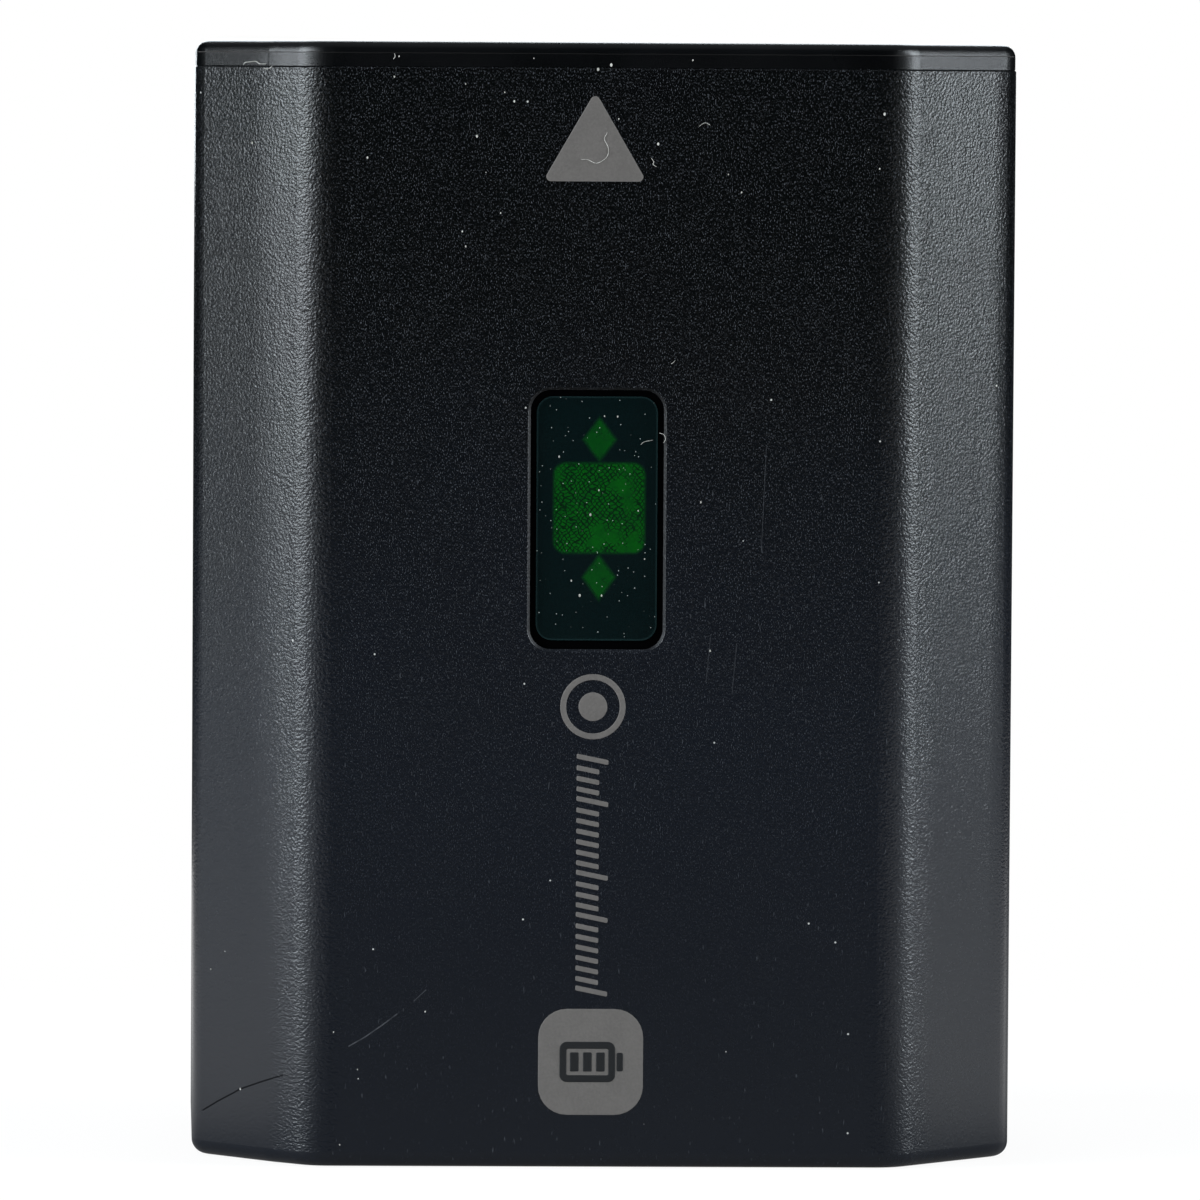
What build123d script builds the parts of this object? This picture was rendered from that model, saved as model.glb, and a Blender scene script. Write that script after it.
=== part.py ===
from build123d import *
import os
from math import radians, sqrt, tan

# A two-cell camera battery, standing on its closed end with the terminal end up.
# X runs across the front, the marked front faces -Y, and the origin is the middle of the bottom.

# Cells
cell_diameter = 18.0
cell_length = 47.0
can_edge = 0.6
groove_depth = 0.7
groove_half_width = 0.9
groove_below_crimp = 3.2
button_diameter = 8.0
button_height = 0.35
ring_thickness = 0.2
ring_margin = 0.6

# Room around the cells
cell_gap = 0.2
side_gap = 0.15
front_gap = 0.15
head_room = 1.85

# Case
wall = 0.85
floor_thickness = 1.0
chamfer_width = 5.45
chamfer_depth = 5.25
side_draft = 1.25
front_blend = 2.5
shoulder_blend = 1.5
back_corner = 1.3
bottom_edge = 0.7
rim_chamfer = 0.08
crease_run = 3.5
crease_rise = 0.16
rib_thickness = 0.8
rib_gap = 0.1
rib_height = 30.0
rib_lift = 2.0
smallest_radius = 0.1

# Terminal cap
cap_height = 1.15
cap_inset = 0.04
cap_edge = 0.6
lip_gap = 0.05
lip_thickness = 0.5
lip_depth = 0.9
pocket_depth = 0.45
pocket_margin = 0.15
pocket_corner = 0.5
slot_width = 1.2
slot_length = 1.9

# Security label and its recess in the front
recess_depth = 0.4
recess_corner = 0.95
recess_edge = 0.12
recess_from_top = 21.85
recess_offset = -0.45
label_width = 5.55
label_height = 11.2
label_thickness = 0.12
label_corner = 0.75
label_shift_up = 0.05
label_side_gap = 0.28
label_end_gap = 0.35

# Straps, pad and insulating sheet
strap_thickness = 0.15
strap_width = 4.0
strap_reach = 4.0
strap_bend = 0.4
strap_side_gap = 0.3
solder_length = 3.0
link_width = 6.0
link_corner = 1.0
link_slit_width = 0.8
link_slit_length = 4.0
tail_width = 3.0
pad_thickness = 0.4
pad_margin = 1.0
sheet_gap = 0.05
sheet_thickness = 0.15
sheet_margin = 0.5

# Protection board and what is soldered to it
board_width = 30.0
board_height = 24.0
board_thickness = 0.8
board_corner = 1.0
parts_room = 1.85
part_gap = 2.0
row_gap = 1.0
lead_thickness = 0.15
lead_width = 0.3
lead_reach = 0.8
lead_pitch = 0.65
chip_standoff = 0.1
chip_thickness = 1.0
chip_height = 4.4
gauge_width = 5.0
gauge_leads = range(6)
switch_width = 3.0
switch_leads = range(4)
protection_width = 2.9
protection_height = 1.6
protection_pitch = 0.95
protection_leads = range(3)
resistor_width = 6.3
resistor_height = 3.1
resistor_thickness = 0.7
resistor_end = 1.0
fuse_width = 3.0
fuse_height = 2.4
fuse_tab = 1.0
thermistor_width = 2.0
thermistor_height = 1.25
capacitor_width = 1.6
capacitor_height = 0.8
capacitors = range(5)
small_part_thickness = 0.8
small_part_end = 0.35

# Contact block and contacts
contact_pitch = 4.0
contact_names = ("contact_positive", "contact_data", "contact_sense", "contact_negative")
contact_thickness = 0.25
contact_gap = 0.8
contact_depth = 1.6
contact_below_cap = 0.3
contact_floor = 0.6
contact_clearance = 0.1
tail_length = 2.5
block_height = 4.0
block_end = 0.35
block_gap = 0.15

# Overall sizes and levels worked out from the cells outwards
cell_radius = cell_diameter / 2
cell_x = cell_gap / 2 + cell_radius
sheet_room = sheet_gap + sheet_thickness
pack_thickness = 2 * wall + front_gap + cell_diameter + sheet_room + board_thickness + parts_room
front_y = -pack_thickness / 2
back_y = pack_thickness / 2
cell_y = front_y + wall + front_gap + cell_radius
sheet_y = cell_y + cell_radius + sheet_gap
board_y = sheet_y + sheet_thickness
board_back = board_y + board_thickness
draft_slope = tan(radians(side_draft))
half_at_cells = cell_x + cell_radius + side_gap + wall
shoulder_y = front_y + chamfer_depth
shoulder_half = half_at_cells - (cell_y - shoulder_y) * draft_slope
back_half = half_at_cells + (back_y - cell_y) * draft_slope
front_half = shoulder_half - chamfer_width
link_z = floor_thickness + pad_thickness
cell_bottom = link_z + strap_thickness
cell_top = cell_bottom + cell_length
case_height = cell_top + strap_thickness + head_room
pack_width = 2 * back_half
pack_height = case_height + cap_height
contact_count = len(contact_names)
block_bottom = case_height - block_height
board_top = block_bottom
board_bottom = board_top - board_height
block_width = contact_count * contact_pitch + 2 * block_end
block_back = back_y - wall - block_gap
block_middle = (sheet_y + block_back) / 2
recess_width = label_width + 2 * label_side_gap
recess_height = label_height + 2 * label_end_gap
recess_z = pack_height - recess_from_top
up = (0, 0, 1)


def corner_round(face, start, stop, radius):
    """Round the corners of a face that come start to stop when counted from front to back."""
    corners = face.vertices().sort_by(Axis.Y)[start:stop]
    return fillet(corners, max(radius, smallest_radius))


def outline(inset, creased=False):
    """Plan of the pack, moved in by inset: drafted sides, chamfered front, left chamfer creased or plain."""
    slant = sqrt(chamfer_width**2 + chamfer_depth**2)
    crease_x = -shoulder_half + crease_run - crease_rise * chamfer_depth / slant
    crease_y = shoulder_y - crease_run * chamfer_depth / chamfer_width - crease_rise * chamfer_width / slant
    crease = [(crease_x, crease_y)] if creased else []
    corners = [
        (front_half, front_y),
        (shoulder_half, shoulder_y),
        (back_half, back_y),
        (-back_half, back_y),
        (-shoulder_half, shoulder_y),
        *crease,
        (-front_half, front_y),
    ]
    face = make_face(Polyline(*corners, close=True))
    if inset:
        face = offset(face, amount=-inset, kind=Kind.INTERSECTION)
    face = corner_round(face, 0, 2, front_blend - inset)
    face = corner_round(face, -4, -2, shoulder_blend - inset)
    return corner_round(face, -2, None, back_corner - inset)


def plate(face, bottom, top):
    """Raise a plan face between two levels."""
    return extrude(Pos(0, 0, bottom) * face, top - bottom, dir=up)


def block(x_range, y_range, z_range):
    """A plain block between three pairs of limits."""
    low, high = zip(x_range, y_range, z_range)
    size = [b - a for a, b in zip(low, high)]
    middle = [(a + b) / 2 for a, b in zip(low, high)]
    return Pos(*middle) * Box(*size)


def around(middle, size):
    """Lower and upper limit of a size about its middle."""
    return middle - size / 2, middle + size / 2


def front_pad(width, height, corner, rise, depth_from, depth_to):
    """A rounded pad parallel to the front, between two depths behind it, about the label's place."""
    middle = (recess_offset, front_y + depth_to, recess_z + rise)
    face = Plane(origin=middle, x_dir=(1, 0, 0), z_dir=(0, -1, 0))
    return extrude(face * RectangleRounded(width, height, corner), depth_to - depth_from)


def bent_strip(path, thickness, width, x, bend):
    """Sheet strip of one width, bent along a path of (y, z) points."""
    line = FilletPolyline(*path, radius=bend)
    section = trace(line, thickness)
    return extrude(Plane.YZ.offset(x - width / 2) * section, width, dir=(1, 0, 0))


def case():
    """Deep moulded box, open at the top, with a rib between the cells and the label's recess."""
    body = plate(outline(0, creased=True), 0, case_height)
    body = fillet(body.edges().group_by(Axis.Z)[0], min(bottom_edge, floor_thickness))
    body = chamfer(body.edges().group_by(Axis.Z)[-1], rim_chamfer)
    body -= plate(outline(wall), floor_thickness, case_height)
    reach = cell_x - rib_thickness / 2 - rib_gap
    rib_nose = cell_y - sqrt(cell_radius**2 - reach**2)
    rib_start = cell_bottom + rib_lift
    rib_span = (rib_start, rib_start + rib_height)
    body += block(around(0, rib_thickness), (front_y + wall / 2, rib_nose), rib_span)
    body -= front_pad(recess_width, recess_height, recess_corner, 0, -recess_depth, recess_depth)
    rim = body.edges().filter_by_position(Axis.Y, front_y - recess_edge / 2, front_y + recess_edge / 2)
    inside = recess_width / 2 + recess_edge
    rim = rim.filter_by_position(Axis.X, recess_offset - inside, recess_offset + inside)
    rim = rim.filter_by_position(Axis.Z, recess_z - recess_height, recess_z + recess_height)
    return chamfer(rim, recess_edge)


def contact_places():
    """X positions of the contacts, from the positive end to the negative end."""
    first = -(contact_count - 1) * contact_pitch / 2
    return [first + i * contact_pitch for i in range(contact_count)]


def terminal_cap():
    """Lid with a rounded edge, a lip that fits inside the case, and a pocket with the contact slots."""
    body = plate(outline(cap_inset, creased=True), case_height, pack_height)
    body = fillet(body.edges().group_by(Axis.Z)[-1], min(cap_edge, cap_height / 2))
    lip = plate(outline(wall + lip_gap), case_height - lip_depth, case_height)
    lip -= plate(outline(wall + lip_gap + lip_thickness), case_height - lip_depth, case_height)
    lip -= block(around(0, block_width + 2 * block_gap), (cell_y, back_y), (0, case_height))
    body += lip
    pocket_width = block_back - sheet_y + 2 * pocket_margin
    pocket = RectangleRounded(block_width, pocket_width, pocket_corner)
    body -= plate(Pos(0, block_middle) * pocket, pack_height - pocket_depth, pack_height)
    for x in contact_places():
        body -= plate(Pos(x, block_middle) * Rectangle(slot_width, slot_length), case_height, pack_height)
    return body


def security_label():
    """Film label on the floor of the recess."""
    return front_pad(label_width, label_height, label_corner, label_shift_up, recess_depth - label_thickness,
                     recess_depth)


def can_profile():
    """Half section of a cell: broken base edge, rolled groove, crimped top and raised positive button."""
    crimp = cell_length - button_height
    groove = crimp - groove_below_crimp
    button = button_diameter / 2
    corners = [
        (0, 0),
        (cell_radius - can_edge, 0),
        (cell_radius, can_edge),
        (cell_radius, groove - groove_half_width),
        (cell_radius - groove_depth, groove),
        (cell_radius, groove + groove_half_width),
        (cell_radius, crimp - can_edge),
        (cell_radius - can_edge, crimp),
        (button, crimp),
        (button, cell_length),
        (0, cell_length),
    ]
    return make_face(Polyline(*corners, close=True))


def cell(x, positive_up):
    """One sealed can in its film, either way up."""
    body = revolve(Plane.XZ * can_profile(), Axis.Z)
    if not positive_up:
        body = Pos(0, 0, cell_length) * Rot(180, 0, 0) * body
    return Pos(x, cell_y, cell_bottom) * body


def insulating_ring(x, positive_up):
    """Paper ring on the crimp around the positive button."""
    outer = cell_radius - can_edge - ring_margin
    face = Circle(outer) - Circle(button_diameter / 2 + ring_margin)
    crimp = cell_top - button_height
    if not positive_up:
        crimp = cell_bottom + button_height - ring_thickness
    return plate(Pos(x, cell_y) * face, crimp, crimp + ring_thickness)


def cell_strap(side):
    """Bent strap from the top of a cell, over the board's edge, to its solder pad."""
    x = side * (block_width / 2 + strap_side_gap + strap_width / 2)
    half = strap_thickness / 2
    path = [
        (cell_y - strap_reach, cell_top + half),
        (board_back + half, cell_top + half),
        (board_back + half, board_top - solder_length),
    ]
    return bent_strip(path, strap_thickness, strap_width, x, strap_bend)


def series_strap():
    """Plate that joins the lower ends of both cells, with a tail up to the board."""
    length = 2 * cell_x + link_width
    face = RectangleRounded(length, link_width, link_corner)
    slit = Rectangle(link_slit_length, link_slit_width)
    face -= Pos(cell_x, 0) * slit + Pos(-cell_x, 0) * slit
    body = plate(Pos(0, cell_y) * face, link_z, cell_bottom)
    half = strap_thickness / 2
    path = [
        (cell_y, link_z + half),
        (board_back + half, link_z + half),
        (board_back + half, board_bottom + solder_length),
    ]
    return body + bent_strip(path, strap_thickness, tail_width, 0, strap_bend)


def base_pad():
    """Foam pad on the case floor, under the series strap."""
    return plate(outline(wall + pad_margin), floor_thickness, link_z)


def board_face(width, height):
    """Rounded face of the board, seen from the back, about the board's middle."""
    middle = (board_top + board_bottom) / 2
    return Plane(origin=(0, board_y, middle), x_dir=(1, 0, 0), z_dir=(0, -1, 0)) * RectangleRounded(
        width, height, board_corner)


def protection_board():
    """Circuit board that carries the chips, hanging under the contact block."""
    return extrude(board_face(board_width, board_height), -board_thickness)


def board_sheet():
    """Insulating sheet between the cells and the board."""
    face = board_face(board_width + 2 * sheet_margin, board_height)
    return extrude(face, sheet_thickness)


def lead(x, z, side):
    """One bent lead of a chip, from its side down to the board."""
    middle = chip_standoff + lead_thickness * 2
    foot = lead_thickness / 2
    knee = lead_reach / 2
    path = [(0, middle), (knee, middle), (knee, foot), (lead_reach, foot)]
    section = trace(Polyline(*path), lead_thickness)
    body = extrude(section, lead_width / 2, both=True)
    turned = Plane(origin=(x, board_back, z), x_dir=(0, 0, side), z_dir=(-side, 0, 0))
    return turned * body


def leaded_chip(x, z, width, height, pitch, leads):
    """Moulded chip package with a row of leads above and below."""
    depth = (board_back + chip_standoff, board_back + chip_thickness)
    body = block(around(x, width), depth, around(z, height))
    body = chamfer(body.faces().sort_by(Axis.Y)[-1].edges(), lead_thickness)
    for side in (1, -1):
        for i in leads:
            place = x + (i - (len(leads) - 1) / 2) * pitch
            body += lead(place, z + side * height / 2, side)
    return body


def chip_part(x, z, width, height, thickness, end):
    """Block component with metal ends that stand proud of its body."""
    proud = end / 4
    depth = (board_back + proud, board_back + thickness - proud)
    body = block(around(x, width), depth, around(z, height - proud))
    for side in (1, -1):
        middle = x + side * (width - end) / 2
        body += block(around(middle, end), (board_back, board_back + thickness), around(z, height))
    return body


def thermal_fuse(x, z):
    """Flat thermal cut-out with a bevelled body and a flat tab at each end."""
    body = block(around(x, fuse_width), (board_back, board_back + chip_thickness), around(z, fuse_height))
    body = chamfer(body.faces().sort_by(Axis.Y)[-1].edges(), chip_thickness / 4)
    ends = around(x, fuse_width + 2 * fuse_tab)
    return body + block(ends, (board_back, board_back + lead_thickness), around(z, fuse_height / 2))


def row_places(widths):
    """Middle of each component in a row that is centred on the board."""
    left = -(sum(widths) + part_gap * (len(widths) - 1)) / 2
    return [left + sum(widths[:i]) + i * part_gap + width / 2 for i, width in enumerate(widths)]


def board_parts():
    """Everything soldered to the back of the board, in three rows below the straps."""
    half_chip = chip_height / 2 + lead_reach
    half_protection = protection_height / 2 + lead_reach
    half_capacitor = capacitor_height / 2
    first = board_top - solder_length - row_gap - half_chip
    second = first - half_chip - row_gap - half_protection
    third = second - half_protection - row_gap - half_capacitor
    gauge_x, charge_x, discharge_x = row_places([gauge_width, switch_width, switch_width])
    resistor_x, thermistor_x, protection_x, fuse_x = row_places(
        [resistor_width, thermistor_width, protection_width, fuse_width + 2 * fuse_tab])
    capacitor_row = [
        chip_part(x, third, capacitor_width, capacitor_height, small_part_thickness, small_part_end)
        for x in row_places([capacitor_width for _ in capacitors])
    ]
    return {
        "gauge_chip": leaded_chip(gauge_x, first, gauge_width, chip_height, lead_pitch, gauge_leads),
        "charge_switch": leaded_chip(charge_x, first, switch_width, chip_height, lead_pitch, switch_leads),
        "discharge_switch": leaded_chip(discharge_x, first, switch_width, chip_height, lead_pitch,
                                        switch_leads),
        "protection_chip": leaded_chip(protection_x, second, protection_width, protection_height,
                                       protection_pitch, protection_leads),
        "sense_resistor": chip_part(resistor_x, second, resistor_width, resistor_height, resistor_thickness,
                                    resistor_end),
        "thermistor": chip_part(thermistor_x, second, thermistor_width, thermistor_height,
                                small_part_thickness, small_part_end),
        "thermal_fuse": thermal_fuse(fuse_x, second),
        "chip_capacitors": Compound(children=capacitor_row),
    }


def contact_block():
    """Moulded holder for the contacts, between the board's top edge and the cap."""
    body = block(around(0, block_width), (sheet_y, block_back), (block_bottom, case_height))
    cavity_floor = block_bottom + contact_floor
    wide = contact_gap + 2 * contact_thickness + 2 * contact_clearance
    deep = contact_depth + 2 * contact_clearance
    tail_hole = contact_thickness + 2 * contact_clearance
    for x in contact_places():
        body -= block(around(x, wide), around(block_middle, deep), (cavity_floor, case_height))
        tail = (board_back - contact_clearance, board_back - contact_clearance + tail_hole)
        body -= block(around(x, wide), tail, (block_bottom, cavity_floor))
    return body


def contact(x):
    """Folded contact: two upright tines, a floor between them, and a tail down to the board."""
    low = block_bottom + contact_floor
    high = case_height - contact_below_cap
    wide = contact_gap + 2 * contact_thickness
    deep = around(block_middle, contact_depth)
    body = block(around(x, wide), deep, (low, high))
    body -= block(around(x, contact_gap), deep, (low + contact_thickness, high))
    tail = (board_back, board_back + contact_thickness)
    return body + block(around(x, contact_gap), tail, (board_top - tail_length, low + contact_thickness))


pieces = {
    "case": case(),
    "terminal_cap": terminal_cap(),
    "security_label": security_label(),
    "cell_left": cell(-cell_x, True),
    "cell_right": cell(cell_x, False),
    "cell_left_ring": insulating_ring(-cell_x, True),
    "cell_right_ring": insulating_ring(cell_x, False),
    "positive_strap": cell_strap(-1),
    "negative_strap": cell_strap(1),
    "series_strap": series_strap(),
    "base_pad": base_pad(),
    "board_sheet": board_sheet(),
    "protection_board": protection_board(),
    "contact_block": contact_block(),
}
pieces.update(board_parts())
for name, x in zip(contact_names, contact_places()):
    pieces[name] = contact(x)

os.makedirs("parts", exist_ok=True)
for name, piece in pieces.items():
    export_step(piece, f"parts/{name}.step")
print(f"pack {pack_width:.2f} x {pack_thickness:.2f} x {pack_height:.2f} mm, {len(pieces)} pieces")
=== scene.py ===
import bmesh
import bpy
import math
import numpy as np
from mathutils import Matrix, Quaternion, Vector


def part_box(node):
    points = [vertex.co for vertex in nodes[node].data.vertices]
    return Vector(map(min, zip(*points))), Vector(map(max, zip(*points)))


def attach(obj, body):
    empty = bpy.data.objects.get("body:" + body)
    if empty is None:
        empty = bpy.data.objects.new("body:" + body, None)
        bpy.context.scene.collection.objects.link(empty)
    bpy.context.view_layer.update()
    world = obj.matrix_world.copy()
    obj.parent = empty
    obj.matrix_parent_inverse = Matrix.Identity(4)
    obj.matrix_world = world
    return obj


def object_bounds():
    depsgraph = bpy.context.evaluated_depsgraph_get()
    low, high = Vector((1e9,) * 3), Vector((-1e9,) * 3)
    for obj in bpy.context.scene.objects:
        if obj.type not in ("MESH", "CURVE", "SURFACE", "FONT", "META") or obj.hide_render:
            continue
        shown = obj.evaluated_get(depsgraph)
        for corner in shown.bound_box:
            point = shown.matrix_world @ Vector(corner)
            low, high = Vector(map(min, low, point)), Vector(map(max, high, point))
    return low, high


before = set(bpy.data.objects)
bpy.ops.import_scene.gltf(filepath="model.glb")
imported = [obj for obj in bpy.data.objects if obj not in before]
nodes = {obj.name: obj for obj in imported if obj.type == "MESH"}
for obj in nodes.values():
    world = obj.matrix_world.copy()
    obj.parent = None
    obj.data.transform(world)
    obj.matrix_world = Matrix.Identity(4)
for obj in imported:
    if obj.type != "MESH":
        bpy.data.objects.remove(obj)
cadLow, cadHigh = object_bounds()
mm = 0.001
caseLow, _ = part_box("case")
labelLow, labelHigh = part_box("security_label")
frontY = caseLow.y  # the flat front of the case, where the marks are printed
print("frame loaded,", len(nodes), "nodes")


class Wire:
    # one socket of a material, so that shader maths reads as sums
    def __init__(self, tree, socket):
        self.tree = tree
        self.socket = socket

    # adds a node from its type, its settings, and the values or wires of its sockets;
    # gives the wire of one output, or of several
    def add(self, kind, settings, links, out=0):
        node = self.tree.nodes.new(kind)
        for name, value in settings.items():
            setattr(node, name, value)
        for name, value in links.items():
            if isinstance(value, Wire):
                self.tree.links.new(value.socket, node.inputs[name])
            else:
                node.inputs[name].default_value = value
        if isinstance(out, tuple):
            return [Wire(self.tree, node.outputs[each]) for each in out]
        return Wire(self.tree, node.outputs[out]) if node.outputs else None

    def maths(self, operation, *values):
        return self.add("ShaderNodeMath", {"operation": operation}, dict(enumerate(values)))

    def __add__(self, other):
        return self.maths("ADD", self, other)

    __radd__ = __add__

    def __sub__(self, other):
        return self.maths("SUBTRACT", self, other)

    def __rsub__(self, other):
        return self.maths("SUBTRACT", other, self)

    def __mul__(self, other):
        return self.maths("MULTIPLY", self, other)

    __rmul__ = __mul__

    def __truediv__(self, other):
        return self.maths("DIVIDE", self, other)

    def __rtruediv__(self, other):
        return self.maths("DIVIDE", other, self)

    def __pow__(self, other):
        return self.maths("POWER", self, other)

    def __abs__(self):
        return self.maths("ABSOLUTE", self)

    def __gt__(self, other):
        return self.maths("GREATER_THAN", self, other)

    def __lt__(self, other):
        return self.maths("LESS_THAN", self, other)

    def sine(self):
        return self.maths("SINE", self)

    def root(self):
        return self.maths("SQRT", self)

    def least(self, other):
        return self.maths("MINIMUM", self, other)

    def most(self, other):
        return self.maths("MAXIMUM", self, other)

    # a smooth step, 0 below low and 1 above high
    def rise(self, low, high):
        links = {"Value": self, "From Min": low, "From Max": high}
        return self.add("ShaderNodeMapRange", {"interpolation_type": "SMOOTHSTEP"}, links)

    # colour a where this wire is 0 and colour b where it is 1
    def mix(self, a, b):
        return self.add("ShaderNodeMix", {"data_type": "RGBA"}, {0: self, 6: a, 7: b}, 2)

    def parts(self):
        return self.add("ShaderNodeSeparateXYZ", {}, {"Vector": self}, ("X", "Y", "Z"))

    def noise(self, scale, detail=2.0, roughness=0.5):
        links = {"Vector": self, "Scale": scale, "Detail": detail, "Roughness": roughness}
        return self.add("ShaderNodeTexNoise", {}, links)

    # the pattern stretched by a share along each axis before it is used
    def stretched(self, x, y, z):
        return self.add("ShaderNodeMapping", {}, {"Vector": self, "Scale": (x, y, z)})

    def bumped(self, strength, distance):
        return self.add("ShaderNodeBump", {}, {"Height": self, "Strength": strength, "Distance": distance})


# a colour as it looks on a screen, 0 to 255, turned into the linear values that shaders take
def shade(red, green, blue):
    c = np.array([red, green, blue]) / 255
    return (*np.where(c > 0.04045, ((c + 0.055) / 1.055) ** 2.4, c / 12.92).tolist(), 1.0)


def newFinish(name):
    material = bpy.data.materials.new(name)
    material.use_nodes = True
    material.node_tree.nodes.clear()
    coords = material.node_tree.nodes.new("ShaderNodeTexCoord")
    return material, Wire(material.node_tree, coords.outputs["Object"])


scratchAndShadeBlack = shade(4, 4, 5)


# covers the piece with a finish, and lets a dull black take over where the mask is 1: dark scratches, and
# painted shade in a recess
def coatWith(point, links, scratchAndShade=None):
    shader = point.add("ShaderNodeBsdfPrincipled", {}, links)
    if scratchAndShade is not None:
        black = point.add("ShaderNodeBsdfDiffuse", {}, {"Color": scratchAndShadeBlack})
        shader = point.add("ShaderNodeMixShader", {}, {0: scratchAndShade, 1: shader, 2: black})
    point.add("ShaderNodeOutputMaterial", {}, {"Surface": shader})


# the greatest of several masks
def anyOf(masks):
    whole = masks[0]
    for mask in masks[1:]:
        whole = whole.most(mask)
    return whole


# distance from a line of points in the x-z plane: from the nearest place on each run, the least of them
def lineDistance(x, z, points):
    nearest = None
    for (ax, az), (bx, bz) in zip(points, points[1:]):
        runX, runZ = bx - ax, bz - az
        along = ((x - ax) * runX + (z - az) * runZ) / (runX ** 2 + runZ ** 2)
        along = along.most(0.0).least(1.0)
        gap = ((x - ax - along * runX) ** 2 + (z - az - along * runZ) ** 2).root()
        nearest = gap if nearest is None else nearest.least(gap)
    return nearest


dustLook = dict(colour=shade(170, 170, 166), smallest=0.35, softFrom=0.7)


# specks of dust: small cells, a share of them kept by chance, each a dot of its own size
def dustSpecks(point, scale, share, size):
    links = {"Vector": point, "Scale": scale}
    cells, chance = point.add("ShaderNodeTexVoronoi", {}, links, ("Distance", "Color"))
    luck, grade, _ = chance.parts()
    smallest = dustLook["smallest"]
    radius = (smallest + grade * (1 - smallest)) * (size * scale)
    return (1 - (cells / radius).rise(dustLook["softFrom"], 1.0)) * (luck < share)


creaseLook = dict(place=-15.61, half=0.75, depth=0.024, low=0.7, high=51.2, front=-5.0)


# height that eases the crease of the left chamfer: a dip whose slope turns the faces towards each other
def easedCrease(x, y, z):
    look = creaseLook
    nearness = (1 - abs(x - look["place"]) / look["half"]).most(0.0)
    upright = (y < look["front"]) * (z > look["low"]) * (z < look["high"])
    return nearness * nearness * upright * -look["depth"]


# places, widths and depths in millimetres; a pair gives where a change starts and ends;
# dust is its cells to the metre, the share kept and the size of a speck
casePlasticLook = dict(
    shadedTopColour=shade(2, 3, 4), litLowColour=shade(14, 18, 25), shadeHeights=(9.0, 50.0), toneMottle=0.7,
    grainSize=0.120 * mm, grainDepth=0.028, fineScale=2.6, fineShare=0.18, broadScale=90.0, broadShare=0.6,
    roughness=0.24, grainDull=0.16, broadDull=0.08, dustDull=0.3, rimDull=0.3, ior=1.46,
    frontDepths=(-6.2, -5.6), chamferStarts=(11.6, 13.0), blendEnds=(14.4, 15.6),
    keptHeights=(-2.0, 42.0), wornFlat=0.10, wornChamfer=0.25, wornBlend=0.70, blendGrain=0.5,
    glintColour=shade(78, 81, 86), glintStretch=0.5, glintRange=(0.58, 0.74), glintLoss=0.6, glintLow=0.05,
    dashStretch=0.22, dashScale=1.1, dashRange=(0.69, 0.78), dashWithin=13.0, dashGlintStrength=0.4,
    recessMargin=0.41, rimDepths=(0.005, 0.02), recessShadeDepths=(0.13, 0.20), rimShade=0.35,
    softShoulder=17.9, shoulderFall=0.12, dust=(1600.0, 0.04, 0.06 * mm),
    scratchColour=shade(74, 76, 80), scratchWidth=0.036, darkMatte=0.85, lightStrength=0.75,
    faintStrength=0.25, breakScale=2200.0, breakRange=(0.35, 0.6), breakLeast=0.35,
    darkScratch=[(-18.46, 2.12), (-17.76, 2.62), (-17.05, 3.07), (-16.73, 3.29), (-15.65, 3.78),
                 (-14.72, 4.15)],
    lightScratch=[(-11.69, 5.60), (-10.96, 6.02), (-10.23, 6.53), (-9.49, 7.09)],
    lightScratchEnd=[(-8.72, 7.69), (-8.17, 8.20)],
    faintScratches=[[(6.0, 24.2), (5.8, 21.9)], [(7.3, 33.3), (7.1, 28.5)], [(4.8, 24.5), (4.6, 22.4)]])
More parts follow.
